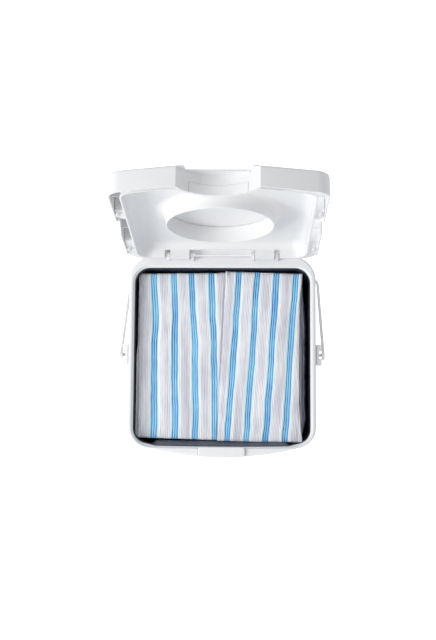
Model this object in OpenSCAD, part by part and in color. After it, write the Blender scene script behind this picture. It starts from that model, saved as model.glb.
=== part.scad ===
// Portable camp toilet: a square lidded pail with a bail handle, a hinged
// seat lid with a round collar, an outer cover, a liner bag and folded pads.
// Millimetres, +Z up, front towards -Y. The origin is on the ground, in the
// middle of the pail.

/* [Pail] */
// Height from the ground to the top of the rim
pail_h = 340; // [320:1:370]
// Width over the rim
rim_w = 341; // [336:1:344]
// Back edge of the rim, behind the origin
rim_back = 172.5; // [171:0.5:174]
// Foremost point of the bowed front edge, ahead of the origin
rim_front = 195; // [192:0.5:197]
// Radius of the bow of the front edge
bow_r = 570; // [480:10:800]
// Back corner radius of the rim
rim_rb = 44; // [40:1:48]
// Front corner radius of the rim
rim_rf = 38; // [34:1:42]
// Depth of the rim's outer skirt
rim_d = 14; // [12:1:16]
// Thickness of the pail wall
wall = 2.6; // [2:0.1:3]
// Draft of the pail wall, in degrees
taper = 5; // [4.5:0.25:5.5]

/* [Opening] */
// Half width of the opening
open_w = 159.5; // [158:0.5:160]
// Back edge of the opening
open_back = 149.5; // [147:0.5:151]
// Front edge of the opening
open_front = 174.5; // [173:0.5:175]

/* [Lid] */
// Hinge axis of the seat lid, behind the origin
hinge_y = 170; // [169:0.5:171]
// Hinge axis of the seat lid, above the rim
hinge_up = 9.5; // [9.2:0.1:10]
// How far the seat lid stands open in the rest position
lid_open = 97; // [92:1:99]
// Half width of the lid
lid_hw = 171.5; // [170.5:0.5:172]
// Length of the lid, from its hinge axis to the middle of its bowed front
lid_len = 373; // [371:0.5:374]
// Height of the lid above its hinge axis
lid_top = 29; // [28.4:0.1:29.6]
// Depth of the lid's free edge below its hinge axis
lid_edge = 7; // [6.6:0.1:7.2]
// Inner radius of the round collar
collar_r = 88.4; // [80:0.2:92]
// Distance from the hinge axis to the middle of the collar
collar_y = 181; // [176:1:186]
// Radius of the finger scoop in the lid's front
scoop_r = 72; // [70:0.5:74]

/* [Handle] */
// Distance from the pivot to the middle of the cross bar
bail_r = 242; // [240:1:246]
// Diameter of the handle wire
wire_d = 5.5; // [5:0.1:5.6]
// Angle below level at which the handle hangs in the rest position
bail_hang = 44; // [40:0.5:44]
// Diameter of the handle grip
grip_d = 22; // [18:0.5:22]

/* [Pads] */
// Height of one folded top pad
pad_t = 15; // [10:1:18]

/* [Hidden] */
H = pail_h;
white = [0.95, 0.95, 0.95];
hw = rim_w/2;
slope = tan(taper);
hinge_z = H + hinge_up;
pin_r = 3;               // seat hinge pin
run = 0.05;              // running clearance of a pin in its hole
knuckle_r = 8.5;         // seat lid knuckles
post_r = 8;              // pail hinge posts
tab_in = 59.5;           // inner and outer ends of a seat lid knuckle
tab_out = 94.5;
post_w = 6.5;
// axis of the cover's hinge, from the seat lid's hinge axis, lid closed
cov_y = 3;
cov_z = 24.2;
cov_pin_r = 1.5;
pivot_y = -8;            // handle pivot
pivot_z = H - 22;
wire_r = wire_d/2;
leg_x = 185.2;           // centre of a handle leg
brk_x0 = 172;            // inner and outer faces of a handle bracket
brk_x1 = 181.5;
screw_dy = 13.5;
deck = 5;                // thickness of the rim's top deck
pad_z = H - 22;          // top of the left pad
crown = 2.6;             // rise of the cover's roof towards its middle
// middles of the rubber feet
foot_pts = [[0, 0], [105, 104], [-105, 104], [105, -120], [-105, -120]];

// ---------- outlines ----------
// Points on an arc
function arc(cx, cy, r, a0, a1, n) =
    [for (i = [0:n]) let (a = a0 + (a1 - a0)*i/n)
        [cx + r*cos(a), cy + r*sin(a)]];
// Interior points of an arc, without its ends
function arc_in(cx, cy, r, a0, a1, n) =
    [for (i = [1:n-1]) let (a = a0 + (a1 - a0)*i/n)
        [cx + r*cos(a), cy + r*sin(a)]];
// Rounded box with a bowed front. w: half width, yb: back edge, yf: foremost
// point, R: bow radius, rb and rf: corner radii, in: inset all round
function outline(w, yb, yf, R, rb, rf, in = 0, n = 12) =
    let (cy = R - yf - sqrt(pow(R - rf, 2) - pow(w - rf, 2)),
         ab = asin((w - rf)/(R - rf)))
    concat(arc(w - rb, yb - rb, rb - in, 0, 90, n),
           arc(-(w - rb), yb - rb, rb - in, 90, 180, n),
           arc(-(w - rf), cy, rf - in, 180, 270 - ab, n),
           arc_in(0, R - yf, R - in, 270 - ab, 270 + ab, 2*n),
           arc(w - rf, cy, rf - in, 270 + ab, 360, n));
function rim_pts(in = 0) =
    outline(hw, rim_back, rim_front, bow_r, rim_rb, rim_rf, in);
function open_pts(in = 0) =
    outline(open_w, open_back, open_front, 6000, 27, 31, in);
function lid_pts(in = 0) =
    outline(lid_hw, 8, lid_len, 590, 36, 28, in);
// Basin inside the lid, from its hinge axis
function bowl_pts(in = 0) =
    outline(153.5, -9, lid_len - 10, 590, 30, 26, in);
// Inset of the pail's outer face from the rim outline at height z
function body_in(z) = 5 + (H - rim_d - z)*slope;

module slab(z, pts) { translate([0, 0, z]) linear_extrude(0.01) polygon(pts); }
// Stretch of 2D shape along X, with Y and Z of the profile kept
// Slab with a raised copy of its middle strip, for the gently crowned roof
module crowned(z, pts) {
    slab(z, pts);
    translate([0, 0, z + crown]) linear_extrude(0.01) intersection() {
        polygon(pts);
        square([108, 900], center = true);
    }
}
// Lifts the front edge of the lid towards the middle
module edge_lift() translate([0, -320, 0]) rotate([90, 0, 0]) linear_extrude(120)
    polygon([[-152, -lid_edge - 0.4], [-62, -lid_edge + 2.8], [62, -lid_edge + 2.8], [152, -lid_edge - 0.4],
             [152, -lid_edge - 20], [-152, -lid_edge - 20]]);
module along_x(x0, x1) {
    translate([x0, 0, 0]) rotate([90, 0, 90]) linear_extrude(x1 - x0) children();
}
module rod_x(x0, x1, r, fn = 48) {
    translate([x0, 0, 0]) rotate([0, 90, 0]) cylinder(h = x1 - x0, r = r, $fn = fn);
}
module both() { children(); mirror([1, 0, 0]) children(); }
// From the closed lid, about its hinge axis, to where it stands
module lid_place() { translate([0, hinge_y, hinge_z]) rotate([-lid_open, 0, 0]) children(); }
// From the handle's plane to where it hangs
module bail_place() { translate([0, pivot_y, pivot_z]) rotate([-bail_hang, 0, 0]) children(); }

// ---------- pail ----------
module pail() color(white) difference() {
    union() {
        // tapered body
        hull() {
            slab(3, rim_pts(body_in(8) + 4));
            slab(5, rim_pts(body_in(8) + 1.2));
            slab(9, rim_pts(body_in(9)));
            slab(H - rim_d + 1, rim_pts(5));
        }
        // rim with a rounded top edge
        hull() {
            slab(H - rim_d, rim_pts(0.6));
            slab(H - rim_d + 1, rim_pts(0));
            slab(H - 4, rim_pts(0));
            slab(H - 2.2, rim_pts(0.6));
            slab(H - 0.9, rim_pts(1.7));
            slab(H - 0.2, rim_pts(3.2));
            slab(H - 0.01, rim_pts(4.6));
        }
        // hinge posts, two either side of each lid knuckle
        both() for (x = [tab_in - 1 - post_w, tab_out + 1])
            translate([0, hinge_y, hinge_z]) {
                rod_x(x, x + post_w, post_r);
                along_x(x, x + post_w)
                    polygon([[-post_r, 0], [post_r, 0],
                             [rim_back - hinge_y - 0.5, -hinge_up - 2],
                             [-post_r, -hinge_up - 2]]);
            }
        // bosses behind the handle brackets
        both() translate([150, pivot_y - 17, pivot_z - 13])
            cube([brk_x0 - 150, 34, 22]);
        // stiffening rib below the rim, front and back
        for (s = [-1, 1]) translate([-40, s > 0 ? 150 : -176, H - 40])
            cube([80, 14, 12]);
    }
    // inside
    hull() {
        slab(7, rim_pts(body_in(7) + wall + 3));
        slab(9, rim_pts(body_in(9) + wall + 0.8));
        slab(13, rim_pts(body_in(13) + wall));
        slab(H - deck, rim_pts(5 + wall));
    }
    // opening with rounded lips
    hull() {
        slab(H - deck - 1, open_pts(0));
        slab(H - 4.3, open_pts(-0.05));
        slab(H - 2.7, open_pts(-0.6));
        slab(H - 1.4, open_pts(-1.7));
        slab(H - 0.5, open_pts(-3.2));
        slab(H - 0.02, open_pts(-4.9));
        slab(H + 1, open_pts(-5));
    }
    // pin holes
    both() translate([0, hinge_y, hinge_z]) rod_x(tab_in - 20, tab_out + 20, pin_r + run);
    // handle pivots and screw holes in the bosses
    both() translate([0, pivot_y, pivot_z]) {
        rod_x(164.8, brk_x0 + 1, wire_r + run);
        for (s = [-1, 1]) translate([0, s*screw_dy, 0]) rod_x(165.5, brk_x0 + 1, 1.95);
    }
    // seats of the rubber feet
    for (p = foot_pts) translate([p[0], p[1], 2]) cylinder(h = 3, r = 14.1, $fn = 64);
    // pocket of the thumb tab
    translate([-43, -210, H - 2.2]) cube([86, 40, 10]);
    // shallow ring under the floor
    translate([0, -8, 2]) difference() {
        cylinder(h = 2, r = 80, $fn = 96);
        translate([0, 0, -1]) cylinder(h = 4, r = 72, $fn = 96);
    }
}

// Raised thumb rest let into the front of the rim
module thumb_tab() color(white) intersection() {
    translate([0, 0, H - 2.1]) linear_extrude(10)
        polygon(rim_pts(0.9));
    hull() {
        for (x = [-36.5, 36.5]) {
            translate([x, -182, H - 2.1]) cylinder(h = 5.4, r = 6, $fn = 32);
            translate([x, -182, H - 2.1]) cylinder(h = 6.8, r = 4.4, $fn = 32);
            translate([x, -193, H - 2.1]) cylinder(h = 4.2, r = 6, $fn = 32);
            translate([x, -190, H - 2.1]) cylinder(h = 6.2, r = 4.6, $fn = 32);
        }
    }
}

module rubber_feet() color([0.25, 0.25, 0.26])
    for (p = foot_pts) translate([p[0], p[1], 0]) {
        cylinder(h = 1, r1 = 12.6, r2 = 13.6, $fn = 64);
        translate([0, 0, 1]) cylinder(h = 3.9, r = 14, $fn = 64);
    }

// ---------- handle ----------
// Pivot housing on the right-hand side
module bracket() color(white) difference() {
    union() {
        translate([brk_x0 + 0.05, pivot_y - 18.5, pivot_z - 13])
            cube([brk_x1 - brk_x0 - 0.05, 37, 26]);
        translate([brk_x0 + 0.05, pivot_y - 10, pivot_z - 20])
            cube([5, 20, 10]);
    }
    // pocket for the bend of the wire
    translate([176.5, pivot_y - 7.5, pivot_z - 30]) cube([20, 15, 60]);
    translate([0, pivot_y, pivot_z]) {
        rod_x(brk_x0 - 1, 178, wire_r + run);
        for (s = [-1, 1]) translate([0, s*screw_dy, 0]) {
            rod_x(brk_x0 - 1, 200, 2.1);
            rod_x(brk_x1 - 2.6, 200, 4);
        }
    }
    // bevelled top and bottom outer edges
    for (s = [-1, 1]) translate([brk_x1, pivot_y, pivot_z + s*13])
        rotate([0, 45, 0]) cube([3, 60, 3], center = true);
}
module handle_bracket_right() bracket();
module handle_bracket_left() mirror([1, 0, 0]) bracket();

module bracket_screws() color([0.62, 0.62, 0.64]) both()
    translate([0, pivot_y, pivot_z]) for (s = [-1, 1]) translate([0, s*screw_dy, 0]) difference() {
        union() {
            rod_x(166.5, brk_x1 - 2.4, 1.9);
            rod_x(brk_x1 - 2.5, brk_x1 - 0.4, 3.7);
        }
        translate([brk_x1 - 1.3, -0.45, -2.4]) cube([2, 0.9, 4.8]);
        translate([brk_x1 - 1.3, -2.4, -0.45]) cube([2, 4.8, 0.9]);
    }

end_r = 6;       // bend from the pivot end into the leg
bend_r = 32;     // bend from the leg into the cross bar
module bail_half() {
    rod_x(166, leg_x - end_r, wire_r);
    // flattened eye round the pivot
    rod_x(leg_x - 2.7, leg_x + 2.1, 8.6, 64);
    translate([leg_x - end_r, end_r, 0]) rotate([0, 0, -90])
        rotate_extrude(angle = 90, $fn = 64) translate([end_r, 0]) circle(r = wire_r, $fn = 48);
    translate([leg_x, end_r, 0]) rotate([-90, 0, 0])
        cylinder(h = bail_r - bend_r - end_r, r = wire_r, $fn = 48);
    translate([leg_x - bend_r, bail_r - bend_r, 0])
        rotate_extrude(angle = 90, $fn = 96) translate([bend_r, 0]) circle(r = wire_r, $fn = 48);
    // stop beside the grip
    translate([0, bail_r, 0]) rod_x(55.8, 58, wire_r + 1.6);
}
module bail_wire() color([0.93, 0.93, 0.93]) bail_place() {
    both() bail_half();
    translate([0, bail_r, 0]) rod_x(-(leg_x - bend_r), leg_x - bend_r, wire_r);
}
module bail_grip() color(white) bail_place() translate([0, bail_r, 0]) rotate([0, 90, 0])
    rotate_extrude($fn = 72) polygon(concat(
        [[wire_r + 0.08, -55], [grip_d/2 - 3, -55], [grip_d/2 - 1, -53.5]],
        [for (i = [0:10]) each let (z = -50 + i*10)
            [[grip_d/2 - (abs(z) > 40 ? 0.6 : 0) - 0.2*pow(z/50, 2), z - 2.6],
             [grip_d/2 - 1.3, z - 1.6], [grip_d/2 - 1.3, z + 1.6],
             [grip_d/2 - (abs(z) > 40 ? 0.6 : 0) - 0.2*pow(z/50, 2), z + 2.6]]],
        [[grip_d/2 - 1, 53.5], [grip_d/2 - 3, 55], [wire_r + 0.08, 55]]));

// ---------- seat lid ----------
// Profile of the collar: a throat, a rounded lip and a flared outer base
collar_low = -3.7;
collar_pts = concat(
    [[collar_r + 0.9, 24.2], [collar_r, 20], [collar_r, collar_low + 1.2],
     [collar_r + 0.35, collar_low + 0.35], [collar_r + 1.2, collar_low],
     [collar_r + 2, collar_low + 0.3], [collar_r + 2.4, collar_low + 1.2]],
    [for (i = [0:10]) let (a = i*9)
        [collar_r + 3 + 20*(1 - cos(a)), 2 + 19.9*sin(a)]],
    [[collar_r + 26, 21.9], [collar_r + 26, 24.2]]);
module scoop_ring(r0, r1, z0, z1) translate([0, -lid_len - 29.5, z0]) difference() {
    cylinder(h = z1 - z0, r = r1, $fn = 144);
    translate([0, 0, -1]) cylinder(h = z1 - z0 + 2, r = r0, $fn = 144);
}
module seat_lid() color(white) lid_place() difference() {
    union() {
        difference() {
            // basin
            hull() {
                slab(-lid_edge, bowl_pts(0));
                slab(8, bowl_pts(2.2));
                slab(18, bowl_pts(6));
                slab(22, bowl_pts(9));
                slab(24.19, bowl_pts(13));
            }
            hull() {
                slab(-lid_edge - 1, bowl_pts(2.2));
                slab(-lid_edge + 0.5, bowl_pts(2.6));
                slab(7, bowl_pts(5));
                slab(13, bowl_pts(7.6));
                slab(17.5, bowl_pts(11.5));
                slab(20.3, bowl_pts(16.5));
                slab(21.7, bowl_pts(24));
            }
            translate([0, -lid_len - 29.5, -20]) cylinder(h = 60, r = scoop_r + 4, $fn = 144);
            // back wall stops above the hinge posts
            translate([-104.5, -22, -20]) cube([209, 30, 28.2]);
        }
        // wall behind the finger scoop and the lip below it
        intersection() {
            scoop_ring(scoop_r + 3.9, scoop_r + 6.5, -lid_edge, 24.2);
            translate([0, 0, -10]) linear_extrude(40) polygon(bowl_pts(0.5));
        }
        intersection() {
            scoop_ring(scoop_r, scoop_r + 6.5, -lid_edge, 12);
            translate([-45.5, -380, -10]) cube([91, 100, 40]);
        }
        // collar
        translate([0, -collar_y, 0]) rotate_extrude($fn = 128) polygon(collar_pts);
        // back deck and the skirt round the back corners
        difference() {
            translate([0, 0, -lid_edge]) linear_extrude(26) intersection() {
                polygon(lid_pts(0));
                translate([-200, -29]) square([400, 60]);
            }
            translate([0, 0, -lid_edge - 1]) linear_extrude(24.5) intersection() {
                polygon(lid_pts(2.5));
                translate([-200, -31]) square([400, 60]);
            }
            // room over the rim, the posts and the pins
            translate([-200, -40, -20]) cube([400, 70, 17.6]);
            translate([-104.5, -7, -20]) cube([209, 30, 23]);
            both() for (x = [51, 94.6]) translate([x, -7, -20]) cube([8.6, 30, 26.4]);
            hull() {
                slab(-20, bowl_pts(7.6));
                slab(20, bowl_pts(8.4));
            }
        }
        // knuckles on the pail's hinge pins, each with its web
        both() {
            rod_x(tab_in, tab_out, knuckle_r);
            along_x(tab_in, tab_out) polygon([[-11.5, -knuckle_r], [0, -knuckle_r],
                [knuckle_r, 0], [knuckle_r, 1], [-2, 12], [-2, 17], [-11.5, 17]]);
        }
        // ears for the cover's hinge
        both() for (x = [55.5, 94.5]) translate([0, cov_y, cov_z]) {
            rod_x(x, x + 4, 3.6, 32);
            along_x(x, x + 4) polygon([[-3.6, -6], [3.6, -6], [3.6, 0], [-3.6, 0]]);
        }
        // blocks and ribs in the side channels, outside the basin
        both() difference() {
            union() {
                translate([146, -257, -3]) cube([21.8, 40, 24]);
                translate([148, -301, 5]) cube([19.8, 2.4, 16]);
                translate([148, -189, 5]) cube([14, 2.4, 16]);
                translate([148, -150, 4]) cube([18.5, 2.4, 16]);
                // web across the channel round the back corner
                translate([0, 0, -3.4]) linear_extrude(2.4) intersection() {
                    polygon(lid_pts(3.1));
                    translate([128, -103]) square([60, 200]);
                }
                translate([148, -103, -2]) cube([20, 2.4, 20]);
            }
            translate([0, 0, -8]) linear_extrude(9.5) polygon(bowl_pts(1.6));
            translate([0, 0, 1.5]) linear_extrude(20) polygon(bowl_pts(5));
        }
    }
    translate([0, 0, 0]) both() rod_x(tab_in - 30, tab_out + 30, pin_r + run);
    translate([0, cov_y, cov_z]) both() rod_x(50, 102, cov_pin_r + run, 32);
    both() for (p = [[-247, 4], [-62, 1]]) translate([163.4, p[0], -10]) cylinder(h = p[1] + 10, r = 2.55, $fn = 32);
    translate([0, -collar_y, 15]) cylinder(h = 30, r = collar_r, $fn = 128);
    edge_lift();
}

// Soft buffers on the blocks, between the closed lid and the rim
module seat_buffers() color([0.9, 0.9, 0.9]) lid_place() both()
    for (p = [[-247, -3], [-62, -3.4]]) translate([163.4, p[0], 0]) {
        translate([0, 0, -hinge_up + 0.25]) cylinder(h = p[1] + hinge_up - 0.3, r = 4, $fn = 48);
        translate([0, 0, p[1] - 0.1]) cylinder(h = 2.3, r = 2.5, $fn = 32);
    }

module seat_hinge_pin() color([0.75, 0.75, 0.77]) translate([0, hinge_y, hinge_z]) {
    rod_x(tab_in - 1 - post_w - 0.6, tab_out + 1 + post_w + 0.6, pin_r);
    rod_x(tab_out + 1 + post_w + 0.1, tab_out + 1 + post_w + 2, pin_r + 1.6);
}
module seat_hinge_pin_right() seat_hinge_pin();
module seat_hinge_pin_left() mirror([1, 0, 0]) seat_hinge_pin();

// ---------- cover ----------
// Plan of the relief beside the handle bracket, and its lining wall
relief = [[165.9, -213], [172.5, -213], [172.5, -150], [170.6, -150]];
relief_wall = [[163.4, -215.5], [171, -215.5], [171, -150], [168.2, -150]];
module lid_cover() color(white) lid_place() {
    difference() {
        union() {
            difference() {
                hull() {
                    slab(-lid_edge, lid_pts(0));
                    crowned(lid_top - 4.2, lid_pts(0.12));
                    crowned(lid_top - 2.4, lid_pts(0.5));
                    crowned(lid_top - 1.1, lid_pts(1.3));
                    crowned(lid_top - 0.35, lid_pts(2.4));
                    crowned(lid_top - 0.01, lid_pts(4));
                }
                hull() {
                    slab(-lid_edge - 1, lid_pts(2.5));
                    slab(lid_top - 7.2, lid_pts(2.7));
                    slab(lid_top - 3.9, lid_pts(3.8));
                    slab(lid_top - 2.81, lid_pts(6));
                }
                // finger scoop below the visor
                translate([0, -lid_len - 29.5, -20]) cylinder(h = 20 + lid_top - 2.8 + crown, r = scoop_r, $fn = 144);
            }
            intersection() {
                scoop_ring(scoop_r, scoop_r + 2.8, -lid_edge, lid_top - 2 + crown);
                translate([0, 0, -10]) linear_extrude(8 + lid_top + crown) polygon(lid_pts(0.6));
            }
            // lining wall of the side reliefs
            both() translate([0, 0, -lid_edge]) linear_extrude(lid_top + lid_edge - 5) polygon(relief_wall);
            // lip along the back edge
            translate([-140, -4.5, cov_z - 3.6]) cube([280, 2.5, lid_top - cov_z + 3.9]);
        }
        // window for the seat lid's lip
        translate([-45.8, -380, -20]) cube([91.6, 100, 32.35]);
        // notch of the visor
        translate([0, 0, lid_top - 2.81]) linear_extrude(10)
            polygon([[-50, -lid_len + 24.4], [50, -lid_len + 24.4], [53.5, -lid_len - 5], [-53.5, -lid_len - 5]]);
        // side reliefs
        both() translate([0, 0, -20]) linear_extrude(20 + lid_top - 8) polygon(relief);
        edge_lift();
        // the skirt stops short of the seat lid's back corners
        translate([-200, -30.5, -20]) cube([400, 60, 40.2]);
        translate([-200, -2, -20]) cube([400, 30, 80]);
        // clear of the ears
        both() for (x = [55, 94]) translate([x, -6, 10]) cube([5, 20, 30]);
    }
    difference() {
        both() translate([0, cov_y, cov_z]) {
            rod_x(60.1, 93.9, lid_top - cov_z, 48);
            along_x(60.1, 93.9) polygon([[-6, 0.2], [0, -3.6], [0, lid_top - cov_z],
                [-3.5, lid_top - cov_z + 1], [-6, lid_top - cov_z + 1]]);
        }
        translate([0, cov_y, cov_z]) both() rod_x(50, 102, cov_pin_r + run, 32);
    }
}
// Soft ring under the cover, round the collar
module cover_seal() color([0.85, 0.85, 0.86]) lid_place() translate([0, -collar_y, 0]) difference() {
    translate([0, 0, 24.3]) cylinder(h = lid_top - 2.81 - 24.3 - 0.12, r = collar_r + 9, $fn = 128);
    translate([0, 0, 20]) cylinder(h = 12, r = collar_r + 1, $fn = 128);
}
module cover_hinge_pin() color([0.75, 0.75, 0.77]) lid_place() translate([0, cov_y, cov_z]) {
    rod_x(54.6, 99.4, cov_pin_r, 32);
    rod_x(98.7, 100.4, cov_pin_r + 1, 32);
}
module cover_hinge_pin_right() cover_hinge_pin();
module cover_hinge_pin_left() mirror([1, 0, 0]) cover_hinge_pin();

// ---------- contents ----------
// Space inside the pail, g inside its walls, and straight up through the opening
module hollow(g) intersection() {
    hull() {
        slab(7.6 + g, rim_pts(body_in(9) + wall + 3 + g));
        slab(14 + g, rim_pts(body_in(14) + wall + 1 + g));
        slab(H, rim_pts(5 + wall + 0.9 + g));
    }
    linear_extrude(H - 2) polygon(open_pts(0.6 + g));
}
module liner_bag() color([0.13, 0.14, 0.18]) difference() {
    hollow(0);
    hollow(1.3);
    translate([-300, -300, H - 9]) cube([600, 600, 20]);
}
// Plan of the space inside the liner at the pads and at the floor
module throat() intersection() {
    polygon(open_pts(2.5));
    polygon(rim_pts(body_in(pad_z - 28) + wall + 3.7));
}
module floor_plan() { polygon(rim_pts(body_in(12) + wall + 4.1)); }
// Lower pads of each stack, squeezed narrower towards the floor
module pad_stack(x0, x1, dx0, dx1) hull() {
    translate([0, 0, 12]) linear_extrude(1) intersection() {
        floor_plan();
        translate([dx0, -140]) square([dx1 - dx0, 268]);
    }
    translate([0, 0, pad_z - pad_t - 10.6]) linear_extrude(10) intersection() {
        throat();
        translate([x0, -161]) square([x1 - x0, 303]);
    }
}
module pad_stack_left() color([0.93, 0.93, 0.95]) pad_stack(-156, -4, -128, -2);
module pad_stack_right() color([0.93, 0.93, 0.95]) pad_stack(-2, 149, 0, 126);
module top_pad_left() color([0.94, 0.94, 0.96])
    translate([0, 0, pad_z - pad_t]) linear_extrude(pad_t) intersection() {
        throat();
        polygon([[-157, 143], [-153, -159], [-9.6, -163], [5, 145]]);
    }
module top_pad_right() color([0.94, 0.94, 0.96])
    translate([0, 0, pad_z - pad_t + 2]) linear_extrude(pad_t) intersection() {
        throat();
        polygon([[-8, -165], [147, -167], [141.5, -90], [144, 90], [148.5, 143], [6.5, 147]]);
    }

pail();
thumb_tab();
rubber_feet();
handle_bracket_left();
handle_bracket_right();
bracket_screws();
bail_wire();
bail_grip();
seat_lid();
seat_buffers();
seat_hinge_pin_left();
seat_hinge_pin_right();
lid_cover();
cover_seal();
cover_hinge_pin_left();
cover_hinge_pin_right();
liner_bag();
pad_stack_left();
pad_stack_right();
top_pad_left();
top_pad_right();
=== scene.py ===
import math
import bpy
import numpy as np
from mathutils import Matrix, Vector, noise


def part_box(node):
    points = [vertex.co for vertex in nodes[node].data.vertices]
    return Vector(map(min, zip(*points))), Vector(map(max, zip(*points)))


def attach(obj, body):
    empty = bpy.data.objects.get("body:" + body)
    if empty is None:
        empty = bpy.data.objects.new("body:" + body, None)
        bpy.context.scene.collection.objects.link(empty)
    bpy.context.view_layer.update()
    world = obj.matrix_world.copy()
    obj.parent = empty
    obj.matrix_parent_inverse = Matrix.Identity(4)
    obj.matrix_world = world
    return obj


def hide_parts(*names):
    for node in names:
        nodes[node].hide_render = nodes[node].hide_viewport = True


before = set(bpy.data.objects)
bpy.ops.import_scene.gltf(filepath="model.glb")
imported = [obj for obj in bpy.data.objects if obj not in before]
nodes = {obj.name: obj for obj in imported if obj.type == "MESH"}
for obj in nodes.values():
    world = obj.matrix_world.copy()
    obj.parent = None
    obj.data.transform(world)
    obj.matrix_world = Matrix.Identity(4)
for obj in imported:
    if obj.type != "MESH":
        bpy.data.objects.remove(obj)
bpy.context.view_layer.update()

scene = bpy.context.scene

# ------------------------------------------------------------------ sizes, from the frame
MM = 0.001
liner_lo, liner_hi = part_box("liner_bag")
H = liner_hi.z + 9 * MM                 # top of the rim
HALF_W, BACK, FRONT, BOW = 170.5 * MM, 172.5 * MM, 195 * MM, 570 * MM
OPEN_W, OPEN_B, OPEN_F = 159.5 * MM, 149.5 * MM, 174.5 * MM
SLOPE = math.tan(math.radians(5))


def outline(w, yb, yf, R, rb, rf, inset, n):
    """Rounded plan with a bowed front, counter-clockwise from the right-hand side."""
    cy = R - yf - math.sqrt((R - rf) ** 2 - (w - rf) ** 2)
    ab = math.degrees(math.asin((w - rf) / (R - rf)))
    pts = []

    def arc(cx, cyy, r, a0, a1, m, ends=True):
        for i in range(m + 1):
            if not ends and i in (0, m):
                continue
            a = math.radians(a0 + (a1 - a0) * i / m)
            pts.append((cx + r * math.cos(a), cyy + r * math.sin(a)))

    arc(w - rb, yb - rb, rb - inset, 0, 90, n)
    arc(-(w - rb), yb - rb, rb - inset, 90, 180, n)
    arc(-(w - rf), cy, rf - inset, 180, 270 - ab, n)
    arc(0, R - yf, R - inset, 270 - ab, 270 + ab, 2 * n, False)
    arc(w - rf, cy, rf - inset, 270 + ab, 360, n)
    return pts


def rim_pts(inset, n=12):
    return outline(HALF_W, BACK, FRONT, BOW, 44 * MM, 38 * MM, inset, n)


def open_pts(inset, n=12):
    return outline(OPEN_W, OPEN_B, OPEN_F, 6.0, 27 * MM, 31 * MM, inset, n)


def resample(pts, n, start_angle=-90.0):
    """n points evenly spaced along a closed outline, starting near a given direction from its middle."""
    p = np.array(pts + pts[:1], float)
    seg = np.hypot(*np.diff(p, axis=0).T)
    s = np.concatenate([[0], np.cumsum(seg)])
    t = np.linspace(0, s[-1], 4 * n, endpoint=False)
    dense = np.stack([np.interp(t, s, p[:, 0]), np.interp(t, s, p[:, 1])], 1)
    ang = np.degrees(np.arctan2(dense[:, 1], dense[:, 0]))
    first = np.argmin(np.abs((ang - start_angle + 180) % 360 - 180))
    t = (t[first] + np.linspace(0, s[-1], n, endpoint=False)) % s[-1]
    return np.stack([np.interp(t, s, p[:, 0]), np.interp(t, s, p[:, 1])], 1)


def polar(pts, m=720):
    """Angle and radius of a closed outline about the origin, at m even angles."""
    p = np.array(pts + pts[:1], float)
    t = np.linspace(0, 1, 40, endpoint=False)[:, None, None]
    d = (p[None, :-1] + (p[None, 1:] - p[None, :-1]) * t).reshape(-1, 2)
    a = np.arctan2(d[:, 1], d[:, 0])
    r = np.hypot(d[:, 0], d[:, 1])
    k = np.argsort(a)
    a, r = a[k], r[k]
    grid = np.linspace(-math.pi, math.pi, m + 1)
    return grid, np.interp(grid, a, r, period=2 * math.pi)


def throat_half(y, inset=2.6 * MM):
    """Half width of the opening at y."""
    pts = open_pts(inset, 24)
    xs = [p for p in pts if p[0] > 0]
    xs.sort(key=lambda p: p[1])
    return float(np.interp(y, [p[1] for p in xs], [p[0] for p in xs]))


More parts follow.
